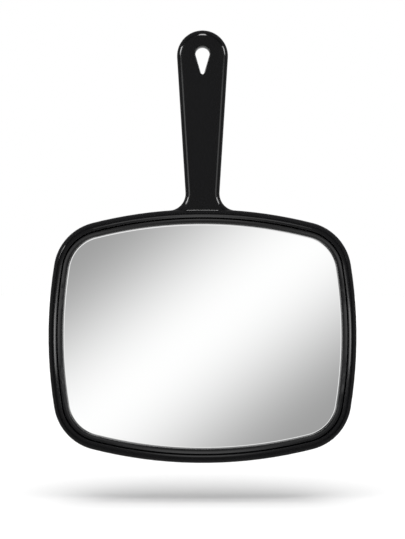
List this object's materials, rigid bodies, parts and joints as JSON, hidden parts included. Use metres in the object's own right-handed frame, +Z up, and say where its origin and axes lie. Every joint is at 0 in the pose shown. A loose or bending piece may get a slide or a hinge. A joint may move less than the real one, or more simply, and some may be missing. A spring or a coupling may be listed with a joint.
{
  "type": "hand mirror",
  "caption": "Salon hand mirror: wide rounded head with a stepped gloss-black rim and plane glass, on a tapered flat handle with a hanging hole.",
  "frame": {"origin": "in the hanging hole, at the centre of the arc that bears on a hook, midway through the handle", "axes": "+Z up the handle away from the head, -Y the front where the glass faces, +X to the viewer's right when looking at the glass"},
  "size_m": [0.19, 0.0133, 0.2669],
  "materials": {
    "shell_plastic": "gloss",
    "bezel_plastic": "gloss",
    "mirror": "polished",
    "tape": "matte",
    "foam": "matte"
  },
  "bodies": {
    "root": {"front_shell": "shell_plastic", "rear_shell": "shell_plastic", "bezel_ring": "bezel_plastic", "mirror_glass": "mirror", "mounting_tape": "tape", "foam_pad": "foam"}
  },
  "joints": []
}
